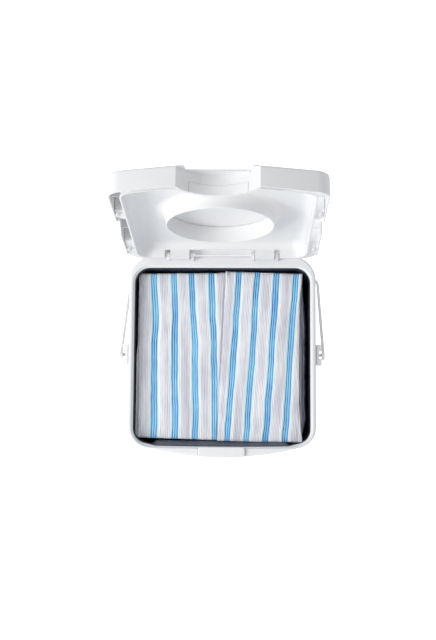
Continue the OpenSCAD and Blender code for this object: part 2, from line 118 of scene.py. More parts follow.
# ------------------------------------------------------------------ material helpers
class Mat:
    """A node material with short calls for the nodes used here."""

    def __init__(self, name):
        self.m = bpy.data.materials.new(name)
        self.m.use_nodes = True
        self.t = self.m.node_tree
        self.t.nodes.clear()
        self.out = self.t.nodes.new("ShaderNodeOutputMaterial")
        self.b = self.t.nodes.new("ShaderNodeBsdfPrincipled")
        self.link(self.b.outputs[0], self.out.inputs[0])
        self.coord = self.node("ShaderNodeTexCoord").outputs["Object"]

    def node(self, kind, **props):
        n = self.t.nodes.new(kind)
        for k, v in props.items():
            setattr(n, k, v)
        return n

    def link(self, a, b):
        self.t.links.new(a, b)
        return b

    def put(self, socket, value):
        if hasattr(value, "is_linked") or isinstance(value, bpy.types.NodeSocket):
            self.link(value, socket)
        else:
            socket.default_value = value

    def scaled(self, sx, sy, sz, vec=None):
        n = self.node("ShaderNodeVectorMath", operation="MULTIPLY")
        self.link(vec or self.coord, n.inputs[0])
        n.inputs[1].default_value = (sx, sy, sz)
        return n.outputs[0]

    def noise(self, scale, detail=3.0, rough=0.5, vec=None, distort=0.0):
        n = self.node("ShaderNodeTexNoise")
        self.link(vec or self.coord, n.inputs["Vector"])
        n.inputs["Scale"].default_value = scale
        n.inputs["Detail"].default_value = detail
        n.inputs["Roughness"].default_value = rough
        n.inputs["Distortion"].default_value = distort
        return n.outputs["Fac"]

    def voronoi(self, scale, vec=None, feature="F1"):
        n = self.node("ShaderNodeTexVoronoi", feature=feature)
        self.link(vec or self.coord, n.inputs["Vector"])
        n.inputs["Scale"].default_value = scale
        return n.outputs["Distance"]

    def ramp(self, fac, stops):
        n = self.node("ShaderNodeValToRGB")
        self.link(fac, n.inputs[0])
        e = n.color_ramp.elements
        while len(e) > 1:
            e.remove(e[-1])
        e[0].position, e[0].color = stops[0][0], (*stops[0][1], 1)
        for p, c in stops[1:]:
            x = e.new(p)
            x.color = (*c, 1)
        return n.outputs[0]

    def rng(self, fac, a, b, c, d, smooth=False):
        n = self.node("ShaderNodeMapRange")
        if smooth:
            n.interpolation_type = "SMOOTHSTEP"
        self.link(fac, n.inputs[0])
        for i, v in zip((1, 2, 3, 4), (a, b, c, d)):
            n.inputs[i].default_value = v
        return n.outputs[0]

    def math(self, op, a, b=None, c=None):
        n = self.node("ShaderNodeMath", operation=op)
        for s, v in zip(n.inputs, (a, b, c)):
            if v is not None:
                self.put(s, v)
        return n.outputs[0]

    def mix(self, fac, a, b, mode="MIX"):
        n = self.node("ShaderNodeMix", data_type="RGBA", blend_type=mode)
        self.put(n.inputs[0], fac)
        for s, v in ((n.inputs[6], a), (n.inputs[7], b)):
            if isinstance(v, tuple) and len(v) == 3:
                v = (*v, 1)
            self.put(s, v)
        return n.outputs[2]

    def bump(self, height, distance, strength=1.0, normal=None):
        n = self.node("ShaderNodeBump")
        n.inputs["Distance"].default_value = distance
        n.inputs["Strength"].default_value = strength
        self.link(height, n.inputs["Height"])
        if normal is not None:
            self.link(normal, n.inputs["Normal"])
        return n.outputs[0]

    def edges(self, radius, samples=6):
        """1 along convex and concave edges, 0 on the flats, and the rounded normal."""
        bev = self.node("ShaderNodeBevel", samples=samples)
        bev.inputs["Radius"].default_value = radius
        geo = self.node("ShaderNodeNewGeometry")
        dot = self.node("ShaderNodeVectorMath", operation="DOT_PRODUCT")
        self.link(bev.outputs[0], dot.inputs[0])
        self.link(geo.outputs["Normal"], dot.inputs[1])
        return self.rng(dot.outputs["Value"], 0.985, 0.80, 0.0, 1.0), bev.outputs[0]

    def attr(self, name):
        n = self.node("ShaderNodeAttribute", attribute_name=name)
        return n.outputs["Fac"]

    def set(self, **values):
        for k, v in values.items():
            s = self.b.inputs[k.replace("_", " ")]
            if isinstance(v, tuple) and len(v) == 3 and s.type == "RGBA":
                v = (*v, 1)
            self.put(s, v)


def moulded(name, base, rough=0.38, grain=1.0, soil_and_shade=0.5, warm=(0.93, 0.92, 0.88), glow=0.06, through=0.0):
    """Injection moulded plastic: fine mould texture, faint flow marks, scuffed edges, dust and painted shade in the
    corners.
    through: light that comes through the thin walls into narrow channels."""
    m = Mat(name)
    edge, round_normal = m.edges(0.8 * MM)
    flow = m.noise(9.0, 2.0, 0.45, m.scaled(1.0, 1.0, 0.35), 0.6)
    cloud = m.noise(38.0, 4.0, 0.55)
    speck = m.noise(820.0, 2.0, 0.6)
    col = m.mix(m.rng(flow, 0.35, 0.7, 0.0, 0.22), base, tuple(b * 0.955 for b in base))
    col = m.mix(m.rng(cloud, 0.45, 0.75, 0.0, 0.35 * soil_and_shade), col, tuple(b * w for b, w in zip(base, warm)))
    # dust held in the corners, partly painted shade: darker and browner where the ambient occlusion finds corners and
    # recesses
    ao = m.node("ShaderNodeAmbientOcclusion", samples=5)
    ao.inputs["Distance"].default_value = 9 * MM
    dust_and_shade = m.math("MULTIPLY", m.rng(ao.outputs["AO"], 0.25, 0.8, 1.0, 0.0), m.rng(cloud, 0.3, 0.7, 0.3, 1.0))
    col = m.mix(m.math("MULTIPLY", dust_and_shade, 0.10 * soil_and_shade), col, (0.42, 0.40, 0.36))
    # edges polished by handling, a little lighter
    worn = m.math("MULTIPLY", edge, m.rng(m.noise(60.0, 3.0), 0.35, 0.65, 0.15, 1.0))
    col = m.mix(m.math("MULTIPLY", worn, 0.28), col, tuple(min(1.0, b * 1.05) for b in base))
    # scuffs: long thin marks in two directions
    s1 = m.noise(70.0, 5.0, 0.6, m.scaled(1.0, 0.09, 0.3), 0.4)
    s2 = m.noise(95.0, 5.0, 0.6, m.scaled(0.12, 1.0, 0.5), 0.3)
    scuff = m.math("MAXIMUM", m.rng(s1, 0.66, 0.74, 0.0, 1.0), m.rng(s2, 0.68, 0.76, 0.0, 1.0))
    col = m.mix(m.math("MULTIPLY", scuff, 0.05), col, (0.62, 0.62, 0.62))
    r = m.math("ADD", m.rng(cloud, 0.2, 0.8, rough - 0.05, rough + 0.07), m.math("MULTIPLY", scuff, 0.12))
    r = m.math("SUBTRACT", r, m.math("MULTIPLY", worn, 0.10))
    n = m.bump(flow, 1.4 * MM, 0.16, round_normal)
    n = m.bump(m.math("ADD", speck, m.math("MULTIPLY", scuff, -0.25)), 0.09 * MM, 0.40 * grain, n)
    m.set(Base_Color=col, Roughness=r, Normal=n, IOR=1.49)
    m.b.inputs["Subsurface Weight"].default_value = glow
    m.b.inputs["Subsurface Radius"].default_value = (1.0, 0.95, 0.9)
    m.b.inputs["Subsurface Scale"].default_value = 2.5 * MM
    if through:
        deep = m.node("ShaderNodeAmbientOcclusion", samples=6)
        deep.inputs["Distance"].default_value = 26 * MM
        m.b.inputs["Emission Color"].default_value = (0.97, 0.985, 1.0, 1)
        lit = m.math("MULTIPLY", m.rng(deep.outputs["AO"], 0.0, 0.16, 0.1, 1.0), m.rng(deep.outputs["AO"], 0.16, 0.58, through, 0.0))
        # more of it on the side away from the key light, as in the photo
        side = m.node("ShaderNodeSeparateXYZ")
        m.link(m.coord, side.inputs[0])
        lit = m.math("MULTIPLY", lit, m.rng(side.outputs[0], -0.14, -0.06, 0.5, 1.0))
        lit = m.math("MULTIPLY", lit, m.rng(side.outputs[0], 0.09, 0.14, 1.0, 2.8))
        m.put(m.b.inputs["Emission Strength"], lit)
    return m.m


def steel(name, base, rough, coat=False):
    m = Mat(name)
    edge, round_normal = m.edges(0.3 * MM)
    spang = m.voronoi(420.0)
    n1 = m.noise(120.0, 4.0, 0.6)
    brush = m.noise(300.0, 3.0, 0.6, m.scaled(0.06, 1.0, 1.0))
    col = m.mix(m.rng(spang, 0.2, 0.8, 0.0, 0.35), base, tuple(b * 0.86 for b in base))
    col = m.mix(m.rng(n1, 0.55, 0.8, 0.0, 0.5), col, tuple(b * w for b, w in zip(base, (0.95, 0.92, 0.84))))
    m.set(Base_Color=col, Metallic=0.0 if coat else 1.0,
          Roughness=m.math("ADD", m.rng(n1, 0.2, 0.8, rough - 0.06, rough + 0.1), m.math("MULTIPLY", edge, -0.05)),
          Normal=m.bump(brush, 0.05 * MM, 0.35, round_normal))
    return m.m


def wire_paint(name):
    """White powder coat: orange peel, chips showing darker steel where the handle rubs."""
    m = Mat(name)
    peel = m.noise(520.0, 3.0, 0.55)
    cloud = m.noise(45.0, 4.0, 0.6)
    chip = m.rng(m.noise(160.0, 6.0, 0.62), 0.71, 0.735, 0.0, 1.0)
    col = m.mix(m.rng(cloud, 0.4, 0.75, 0.0, 0.4), (0.76, 0.765, 0.775), (0.68, 0.675, 0.66))
    col = m.mix(m.math("MULTIPLY", chip, 0.45), col, (0.42, 0.41, 0.40))
    m.set(Base_Color=col, Roughness=m.rng(cloud, 0.2, 0.8, 0.30, 0.46), IOR=1.5,
          Normal=m.bump(peel, 0.12 * MM, 0.35))
    return m.m


def rubber(name, base, rough=0.72):
    m = Mat(name)
    edge, round_normal = m.edges(0.5 * MM)
    n1 = m.noise(70.0, 4.0, 0.6)
    n2 = m.noise(900.0, 2.0, 0.6)
    col = m.mix(m.rng(n1, 0.35, 0.75, 0.0, 0.6), base, tuple(b * 0.82 + 0.02 for b in base))
    col = m.mix(m.math("MULTIPLY", edge, 0.35), col, tuple(min(1, b * 1.2 + 0.03) for b in base))
    m.set(Base_Color=col, Roughness=m.rng(n1, 0.2, 0.8, rough - 0.06, rough + 0.1),
          Normal=m.bump(n2, 0.12 * MM, 0.4, round_normal))
    return m.m


def film(name):
    """Thin plastic film: fine crinkles, glossy creases, a milled sheen."""
    m = Mat(name)
    a = m.noise(60.0, 5.0, 0.62, m.scaled(1.0, 1.0, 0.35), 1.2)
    b = m.noise(260.0, 3.0, 0.55, None, 0.8)
    v = m.voronoi(130.0, m.scaled(1.0, 1.0, 0.4), "DISTANCE_TO_EDGE")
    crease = m.rng(v, 0.0, 0.09, 1.0, 0.0)
    col = m.mix(m.rng(a, 0.3, 0.75, 0.0, 1.0), (0.016, 0.018, 0.032), (0.040, 0.046, 0.074))
    col = m.mix(m.math("MULTIPLY", crease, 0.35), col, (0.13, 0.145, 0.20))
    # painted light: a lighter slate along the turned-in hem and over the loose fold, where the film faces up into the
    # light
    painted_light_mask = m.math("MULTIPLY", m.attr("painted_light_mask"), m.rng(b, 0.25, 0.75, 0.55, 1.0))
    col = m.mix(painted_light_mask, col, (0.20, 0.213, 0.265))
    m.set(Base_Color=col, Roughness=m.rng(b, 0.2, 0.8, 0.30, 0.52), IOR=1.5,
          Normal=m.bump(m.math("ADD", m.math("MULTIPLY", a, 1.0), m.math("MULTIPLY", crease, -0.15)), 1.2 * MM, 0.5,
                        m.bump(b, 0.25 * MM, 0.4)))
    return m.m


PITCH = 36.0     # stripe pitch, in the units of the pad_u attribute
RIB = 3.0        # rib pitch


def pad_cloth(name, stripes=True, white=(0.95, 0.955, 0.97), grey=(0.63, 0.63, 0.70)):
    """Ribbed non-woven: ribs and cross threads, lengthwise bands of three dark blue threads on a pale blue ground."""
    m = Mat(name)
    u, v = m.attr("pad_u"), m.attr("pad_v")
    wob = m.noise(13.0, 2.0, 0.5)
    uu = m.math("ADD", u, m.rng(wob, 0.2, 0.8, -2.3, 2.3))
    cell = m.math("MODULO", uu, PITCH)
    s = m.math("SUBTRACT", cell, PITCH / 2)                 # distance from the stripe's middle
    d = m.math("ABSOLUTE", s)
    rib = m.math("COSINE", m.math("MULTIPLY", s, 2 * math.pi / RIB))   # +1 in the grooves, -1 on the threads
    line = m.math("COSINE", m.math("MULTIPLY", s, 2 * math.pi / 3.9))  # three dark threads in each band
    thread = m.rng(line, -0.35, 0.55, 0.0, 1.0, True)
    cross = m.math("SINE", m.math("MULTIPLY", v, 2 * math.pi / 1.9))
    weave = m.math("MULTIPLY", m.rng(cross, -1, 1, 0.0, 1.0), m.rng(rib, -1, 1, 0.25, 1.0))
    cloud = m.noise(17.0, 4.0, 0.55)
    patch = m.noise(11.0, 3.0, 0.6, m.scaled(2.2, 0.75, 1.0))
    fibre = m.noise(1500.0, 2.0, 0.6)
    # painted shade: greyer half way between the bands and whiter beside them, standing in for the shading of the
    # cloth's swell between the band seams
    mid_shade = m.rng(d, 7.5, 13.5, 0.0, 1.0, True)
    ground = m.mix(m.math("MULTIPLY", mid_shade, m.rng(patch, 0.34, 0.62, 0.15, 1.0)), white, grey)
    # some ribs are picked out by shadow, others fade
    pick = m.noise(55.0, 2.0, 0.5, m.scaled(1.0, 0.06, 1.0))
    lines = m.math("MULTIPLY", m.rng(rib, 0.1, 0.95, 0.0, 1.0, True), m.rng(pick, 0.35, 0.65, 0.10, 0.62))
    ground = m.mix(lines, ground, (0.46, 0.46, 0.54))
    mesh = m.math("MULTIPLY", weave, m.rng(cloud, 0.45, 0.62, 0.05, 0.34))
    ground = m.mix(mesh, ground, (0.45, 0.46, 0.55))
    ground = m.mix(m.rng(patch, 0.62, 0.74, 0.0, 0.30), ground, (0.90, 0.91, 0.92))
    ground = m.mix(m.rng(fibre, 0.5, 0.8, 0.0, 0.16), ground, (0.97, 0.97, 0.98))
    if stripes:
        fade = m.rng(m.noise(26.0, 3.0, 0.6, m.scaled(1.0, 0.55, 1.0)), 0.36, 0.66, 0.0, 1.0)
        pale = m.mix(fade, (0.42, 0.76, 0.94), (0.26, 0.58, 0.86))
        deep = m.mix(fade, (0.022, 0.27, 0.58), (0.010, 0.13, 0.42))
        band = m.mix(thread, pale, deep)
        dots = m.math("MULTIPLY", m.rng(cross, -0.2, 1, 0.0, 1.0), thread)
        band = m.mix(m.math("MULTIPLY", dots, m.rng(cloud, 0.4, 0.6, 0.12, 0.50)), band, (0.50, 0.72, 0.88))
        halo = m.math("MULTIPLY", m.rng(d, 9.4, 6.2, 0.0, 0.75, True), m.rng(cloud, 0.35, 0.62, 0.3, 1.0))
        ground = m.mix(halo, ground, (0.52, 0.84, 0.92))
        ground = m.mix(m.rng(d, 6.05, 5.55, 0.0, 1.0, True), ground, band)
    height = m.math("ADD", m.math("MULTIPLY", rib, -0.6), m.math("MULTIPLY", weave, 0.5))
    n = m.bump(height, 0.45 * MM, 0.65)
    n = m.bump(fibre, 0.10 * MM, 0.35, n)
    m.set(Base_Color=ground, Roughness=m.rng(fibre, 0.2, 0.8, 0.78, 0.95), Normal=n)
    m.b.inputs["Sheen Weight"].default_value = 0.25
    m.b.inputs["Sheen Roughness"].default_value = 0.5
    m.b.inputs["Subsurface Weight"].default_value = 0.08
    m.b.inputs["Subsurface Radius"].default_value = (1.0, 1.0, 1.0)
    m.b.inputs["Subsurface Scale"].default_value = 1.2 * MM
    return m.m


plastic = moulded("pail_plastic", (0.80, 0.805, 0.815), 0.40)
plastic_lid = moulded("lid_plastic", (0.80, 0.803, 0.812), 0.37, 0.8, through=0.16)
plastic_tab = moulded("tab_plastic", (0.81, 0.813, 0.822), 0.34, 0.7, 0.7)
plastic_grip = moulded("grip_plastic", (0.79, 0.79, 0.80), 0.44, 1.3, 0.9)
plastic_bracket = moulded("bracket_plastic", (0.86, 0.863, 0.87), 0.42, 1.0, 0.3, through=0.10)
paint = wire_paint("handle_paint")
zinc = steel("zinc_plate", (0.62, 0.62, 0.63), 0.34)
foot_rubber = rubber("foot_rubber_grey", (0.045, 0.045, 0.048))
tpe = rubber("soft_white", (0.74, 0.745, 0.75), 0.6)
liner_mat = film("liner_film_slate")
striped = pad_cloth("pad_striped")
plain = pad_cloth("pad_sides", stripes=False)

looks = {"pail": plastic, "thumb_tab": plastic_tab, "handle_bracket_left": plastic_bracket,
         "handle_bracket_right": plastic_bracket, "bail_grip": plastic_grip, "seat_lid": plastic_lid,
         "lid_cover": plastic_lid, "bail_wire": paint, "rubber_feet": foot_rubber,
         "bracket_screws": zinc, "seat_hinge_pin_left": zinc, "seat_hinge_pin_right": zinc,
         "cover_hinge_pin_left": zinc, "cover_hinge_pin_right": zinc,
         "seat_buffers": tpe, "cover_seal": tpe}
for name, mat in looks.items():
    for s in nodes[name].material_slots:
        s.material = mat


# ------------------------------------------------------------------ smooth shading of the CAD shells
def shading_group():
    """Joins the facets' split corners and shades smoothly up to 33 degrees. The shape doesn't change."""
    g = bpy.data.node_groups.new("soft_shading", "GeometryNodeTree")
    g.interface.new_socket("Geometry", in_out="INPUT", socket_type="NodeSocketGeometry")
    g.interface.new_socket("Geometry", in_out="OUTPUT", socket_type="NodeSocketGeometry")
    n = g.nodes
    a, z = n.new("NodeGroupInput"), n.new("NodeGroupOutput")
    rem = n.new("GeometryNodeRemoveAttribute")
    rem.inputs["Name"].default_value = "custom_normal"
    weld = n.new("GeometryNodeMergeByDistance")
    weld.inputs["Distance"].default_value = 2e-6
    face = n.new("GeometryNodeSetShadeSmooth")
    face.domain = "FACE"
    edge = n.new("GeometryNodeSetShadeSmooth")
    edge.domain = "EDGE"
    ang = n.new("GeometryNodeInputMeshEdgeAngle")
    less = n.new("FunctionNodeCompare")
    less.data_type = "FLOAT"
    less.operation = "LESS_THAN"
    less.inputs[1].default_value = math.radians(33)
    L = g.links.new
    L(a.outputs[0], rem.inputs["Geometry"])
    L(rem.outputs[0], weld.inputs["Geometry"])
    L(weld.outputs[0], face.inputs["Geometry"])
    L(face.outputs[0], edge.inputs["Geometry"])
    L(ang.outputs["Unsigned Angle"], less.inputs[0])
    L(less.outputs[0], edge.inputs["Shade Smooth"])
    L(edge.outputs[0], z.inputs[0])
    return g


group = shading_group()
for name in looks:
    o = nodes[name]
    mod = o.modifiers.new("soft_shading", "NODES")
    mod.node_group = group
    wn = o.modifiers.new("face_weight", "WEIGHTED_NORMAL")
    wn.mode = "FACE_AREA"
    wn.weight = 50
    wn.keep_sharp = True


# ------------------------------------------------------------------ mesh helpers
def make(name, verts, faces, mats, slots=None):
    me = bpy.data.meshes.new(name)
    me.from_pydata([tuple(v) for v in verts], [], faces)
    for mt in mats:
        me.materials.append(mt)
    me.polygons.foreach_set("use_smooth", [True] * len(me.polygons))
    if slots is not None:
        me.polygons.foreach_set("material_index", slots)
    me.update()
    o = bpy.data.objects.new(name, me)
    scene.collection.objects.link(o)
    return o


def coords(me):
    co = np.zeros(len(me.vertices) * 3, np.float32)
    me.vertices.foreach_get("co", co)
    return co.reshape(-1, 3).astype(float)


def put_coords(me, co):
    me.vertices.foreach_set("co", np.asarray(co, np.float32).ravel())
    me.update()


def normals(me):
    n = np.zeros(len(me.vertices) * 3, np.float32)
    me.vertices.foreach_get("normal", n)
    return n.reshape(-1, 3).astype(float)


def simulate(o, pins, pressure, frames=20, mass=0.12, stiff=8.0, bend=0.4, grow=0.0, cap=0.004):
    """Cloth with gravity off, blown up by pressure and held at its pins. No point moves further than cap."""
    rest = coords(o.data)
    g = o.vertex_groups.new(name="pin")
    for i, w in enumerate(pins):
        if w > 0:
            g.add([i], float(w), "REPLACE")
    mod = o.modifiers.new("cloth", "CLOTH")
    c = mod.settings
    c.quality = 5
    c.mass = mass
    c.tension_stiffness = c.compression_stiffness = stiff
    c.shear_stiffness = stiff / 2
    c.bending_stiffness = bend
    c.air_damping = 2.0
    c.vertex_group_mass = "pin"
    c.pin_stiffness = 1.0
    c.shrink_min = -grow
    if pressure:
        c.use_pressure = True
        c.uniform_pressure_force = pressure
    c.effector_weights.gravity = 0
    mod.collision_settings.use_collision = False
    mod.point_cache.frame_start, mod.point_cache.frame_end = 1, frames
    for f in range(1, frames + 1):
        scene.frame_set(f)
    dg = bpy.context.evaluated_depsgraph_get()
    moved = coords(o.evaluated_get(dg).data)
    o.modifiers.remove(mod)
    o.vertex_groups.remove(g)
    scene.frame_set(1)
    d = moved - rest
    d[~np.isfinite(d).all(1)] = 0
    far = np.linalg.norm(d, axis=1)
    d *= (cap * np.tanh(far / cap) / np.maximum(far, 1e-9))[:, None]
    put_coords(o.data, rest + d)
    return d


def subdivide(o, levels=1):
    mod = o.modifiers.new("subd", "SUBSURF")
    mod.levels = mod.render_levels = levels
    dg = bpy.context.evaluated_depsgraph_get()
    me = bpy.data.meshes.new_from_object(o.evaluated_get(dg), depsgraph=dg)
    o.modifiers.remove(mod)
    old = o.data
    o.data = me
    bpy.data.meshes.remove(old)
    o.data.name = o.name


def set_attr(me, name, values):
    a = me.attributes.get(name) or me.attributes.new(name, "FLOAT", "POINT")
    a.data.foreach_set("value", np.asarray(values, np.float32))


def fractal(p, scale, seed, octaves=3):
    """Seeded smooth noise at each point, about -1 to 1."""
    out = np.empty(len(p))
    off = Vector((seed * 7.3, seed * 3.1, seed * 5.7))
    for i, q in enumerate(p):
        v, amp, k = 0.0, 1.0, scale
        for _ in range(octaves):
            v += amp * noise.noise(Vector(q) * k + off)
            amp *= 0.5
            k *= 2.1
        out[i] = v
    return out


# ------------------------------------------------------------------ the two top pads
# Middle lines of the blue bands, as x at the back, middle and front of the pads
Y_BACK, Y_MID, Y_FRONT = 138 * MM, -10.5 * MM, -158.5 * MM
BANDS_L = [(-126.3, -123.8, -123.9), (-89.4, -86.5, -85.9), (-56.8, -50.2, -48.4), (-20.2, -15.1, -12.3)]
BANDS_R = [(30.5, 20.3, 10.4), (64.3, 54.0, 44.9), (99.6, 90.2, 80.1), (134.8, 123.7, 115.5)]


def band_u(x, y, bands):
    """Distance across the pad in stripe units: each band's middle is at 18 + 36 k."""
    t = (y - Y_FRONT) / (Y_BACK - Y_FRONT)
    tm = (Y_MID - Y_FRONT) / (Y_BACK - Y_FRONT)
    lines = []
    for b, m, f in bands:
        # a parabola through the three points
        c0 = f
        c2 = ((m - f) / tm - (b - f)) / (tm - 1)
        c1 = (b - f) - c2
        lines.append(c0 + c1 * t + c2 * t * t)
    lines = np.array(lines)                      # bands x points, in mm
    xm = x * 1000
    first = lines[0] - (lines[1] - lines[0])
    last = lines[-1] + (lines[-1] - lines[-2])
    allx = np.vstack([first, lines, last])
    u = np.zeros(len(x))
    for i in range(len(x)):
        u[i] = np.interp(xm[i], allx[:, i], PITCH * np.arange(len(allx)) + PITCH / 2)
        if xm[i] < allx[0, i]:
            u[i] = PITCH / 2 + (xm[i] - allx[0, i])
        elif xm[i] > allx[-1, i]:
            u[i] = PITCH * len(allx) - PITCH / 2 + (xm[i] - allx[-1, i])
    # no band beyond the first and last
    top = PITCH * len(allx) - PITCH / 2
    u = np.where(u < 28, 28 + 0.25 * (u - 28), u)
    u = np.where(u > top - 10, top - 10 + 0.25 * (u - top + 10), u)
    return u + PITCH


def lerp_pts(t, table):
    return float(np.interp(t, [a for a, _ in table], [b for _, b in table])) * MM


PADS = {
    "top_pad_left": dict(
        left=[(-159, -158.6), (-10, -158.2), (20, -156.4), (143, -155.2)], right=[(-163, -6.6), (145, 7.0)],
        back=[(-157, 143.2), (5, 145)], front=[(-153, -159.5), (-9, -163.2)], bands=BANDS_L, seed=3),
    "top_pad_right": dict(
        left=[(-165, -8.6), (147, 5.6)], right=[(-167, 147), (-90, 141.8), (90, 144), (143, 148)],
        back=[(6, 147), (148.5, 143)], front=[(-8, -165), (147, -167)], bands=BANDS_R, seed=8),
}
# Side profile: inset as a share of the edge radius, height as a share of the thickness. Two folded layers.
RINGS = [(1.0, 1.0), (0.55, 0.985), (0.2, 0.93), (0.02, 0.84), (0.05, 0.76), (0.45, 0.70), (0.45, 0.66),
         (0.05, 0.60), (0.0, 0.48), (0.05, 0.39), (0.42, 0.34), (0.42, 0.31), (0.06, 0.25), (0.03, 0.15),
         (0.25, 0.05), (0.6, 0.01), (1.0, 0.0)]


def notch(x, y):
    """Depth of the dips where a second sheet shows beside the first."""
    out = np.zeros(len(x))
    # left sheet edge: a step down from the upper sheet to the one below it
    line = -153.2 + 0.7 * np.sin(y * 0.05)
    step = np.clip((line - x) / 0.9, 0, 1) * np.clip((2 - y) / 10, 0, 1)
    out += 2.4 * step
    return out


def build_top_pad(node, spec):
    lo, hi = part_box(node)
    z0, z1 = lo.z + 0.2 * MM, hi.z - 1.0 * MM
    edge = 4.2 * MM
    nu, nv = ((104, 74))

    def plan(u, v):
        # u across, v from the front to the back
        xg = lo.x * 1000 + (hi.x - lo.x) * 1000 * u
        yf, yb = lerp_pts(xg, spec["front"]), lerp_pts(xg, spec["back"])
        y = yf + (yb - yf) * v
        th = throat_half(y, 0.4 * MM) + 1.2 * MM
        xl = max(lerp_pts(y * 1000, spec["left"]), -th)
        xr = min(lerp_pts(y * 1000, spec["right"]), th)
        return xl + (xr - xl) * u, y

    width, length = hi.x - lo.x, hi.y - lo.y

    def point(u, v, inset):
        mu, mv = inset * edge / width, inset * edge / length
        return plan(mu + (1 - 2 * mu) * u, mv + (1 - 2 * mv) * v)

    verts, faces = [], []
    grid = {}
    for side, z in (("t", z1), ("b", z0)):
        for i in range(nu + 1):
            for j in range(nv + 1):
                x, y = point(i / nu, j / nv, 1.0)
                grid[side, i, j] = len(verts)
                verts.append((x, y, z))
    for i in range(nu):
        for j in range(nv):
            t = [grid["t", i, j], grid["t", i + 1, j], grid["t", i + 1, j + 1], grid["t", i, j + 1]]
            b = [grid["b", i, j], grid["b", i, j + 1], grid["b", i + 1, j + 1], grid["b", i + 1, j]]
            faces += [t, b]
    loop = [(i, 0) for i in range(nu)] + [(nu, j) for j in range(nv)] + \
           [(i, nv) for i in range(nu, 0, -1)] + [(0, j) for j in range(nv, 0, -1)]
    prev = [grid["t", i, j] for i, j in loop]
    for k, (ins, h) in enumerate(RINGS[1:-1]):
        ring = []
        for i, j in loop:
            x, y = point(i / nu, j / nv, ins)
            ring.append(len(verts))
            verts.append((x, y, z0 + (z1 - z0) * h))
        for a in range(len(loop)):
            b = (a + 1) % len(loop)
            faces.append([prev[a], ring[a], ring[b], prev[b]])
        prev = ring
    last = [grid["b", i, j] for i, j in loop]
    for a in range(len(loop)):
        b = (a + 1) % len(loop)
        faces.append([prev[a], last[a], last[b], prev[b]])
    o = make(node + "_cloth", verts, faces, [striped])
    co = coords(o.data)
    # pinned underside and folds; the band seams hold the top down a little
    h = (co[:, 2] - z0) / (z1 - z0)
    pins = np.where(h < 0.02, 1.0, 0.0)
    pins = np.maximum(pins, np.where(np.abs(h - 0.68) < 0.03, 0.7, 0.0))
    pins = np.maximum(pins, np.where(np.abs(h - 0.325) < 0.03, 0.8, 0.0))
    u = band_u(co[:, 0], co[:, 1], spec["bands"])
    s = np.abs((u % PITCH) - PITCH / 2)
    top = h > 0.99
    pins = np.where(top, 0.35 * np.clip(1 - s / 6.0, 0, 1), pins)
    simulate(o, pins, 3.0, 20, cap=3.2 * MM)
    co = coords(o.data)
    co[:, 2] = np.maximum(co[:, 2], z0)
    put_coords(o.data, co)
    subdivide(o, 1)
    me = o.data
    co, nr = coords(me), normals(me)
    u = band_u(co[:, 0], co[:, 1], spec["bands"])
    v = co[:, 1] * 1000 + 200
    s = (u % PITCH) - PITCH / 2
    up = np.clip(nr[:, 2], 0, 1)
    # broad undulation, handling creases along the ribs, rib relief and a dip at each band
    low = fractal(co, 15.0, spec["seed"], 3)
    stretched = co * np.array([60.0, 9.0, 1.0])
    crease = fractal(stretched, 1.0, spec["seed"] + 1, 3)
    ribs = np.cos(s * 2 * math.pi / RIB)
    swell = fractal(co * np.array([26.0, 5.0, 1.0]), 1.0, spec["seed"] + 7, 2)
    lift = 1.1 * MM * low + 1.2 * MM * crease + 1.5 * MM * swell - 0.6 * MM * np.exp(-(s / 5.0) ** 2) - 0.20 * MM * ribs
    if node == "top_pad_left":
        lift = lift - MM * notch(co[:, 0] * 1000, co[:, 1] * 1000)
        # lies under the right pad along their shared edge
        under = np.interp(co[:, 1] * 1000, [-163, 145], [-9.4, 4.6])
        lift = lift - 1.4 * MM * np.clip((co[:, 0] * 1000 - under + 2.0) / 3.0, 0, 1)
    else:
        # a dog-ear turned up at the back corner of the shared edge
        r = np.hypot((co[:, 0] * 1000 - 8.0) / 3.2, (co[:, 1] * 1000 - 141.0) / 9.0)
        lift = lift + 3.2 * MM * np.exp(-r ** 2)
    co = co + nr * (lift * np.clip(up * 1.3, 0, 1))[:, None]
    side = 1 - up
    ragged = fractal(co * np.array([90.0, 90.0, 30.0]), 1.0, spec["seed"] + 2, 2)
    flat = nr.copy()
    flat[:, 2] = 0
    co = co + flat * (0.35 * MM * ragged * side)[:, None]
    co[:, 2] = np.maximum(co[:, 2], z0)
    put_coords(me, co)
    set_attr(me, "pad_u", u)
    set_attr(me, "pad_v", v)
    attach(o, "pail_body")
    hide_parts(node)
    return o


pads = {n: build_top_pad(n, s) for n, s in PADS.items()}


